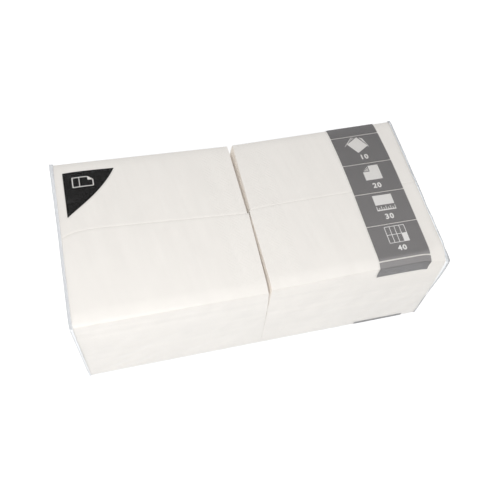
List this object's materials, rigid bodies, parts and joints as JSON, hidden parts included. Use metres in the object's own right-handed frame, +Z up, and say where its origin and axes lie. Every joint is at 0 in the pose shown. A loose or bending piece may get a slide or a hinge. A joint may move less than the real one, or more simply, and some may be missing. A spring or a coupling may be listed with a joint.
{
  "type": "paper napkin pack",
  "caption": "Wholesale pack of folded white paper napkins in four stacks, wrapped in clear printed film with folded, sealed ends.",
  "frame": {"origin": "middle of the underside of the wrapped pack, where it rests", "axes": "+X along the pack, from the black corner field's end to the grey band's end; -Y is the front; +Z up through the stacks"},
  "size_m": [0.336, 0.1696, 0.1102],
  "materials": {
    "napkin": "matte, soft embossed tissue",
    "film": "clear thin film, glossy and slightly wrinkled",
    "ink_grey": "satin grey print under the film",
    "ink_black": "satin black print under the film"
  },
  "bodies": {
    "root": {"front_left_stack": "napkin", "front_right_stack": "napkin", "back_left_stack": "napkin", "back_right_stack": "napkin", "film_wrap": "film", "print_band_top": "ink_grey", "print_band_underside": "ink_grey", "print_corner_field": "ink_black"}
  },
  "joints": []
}
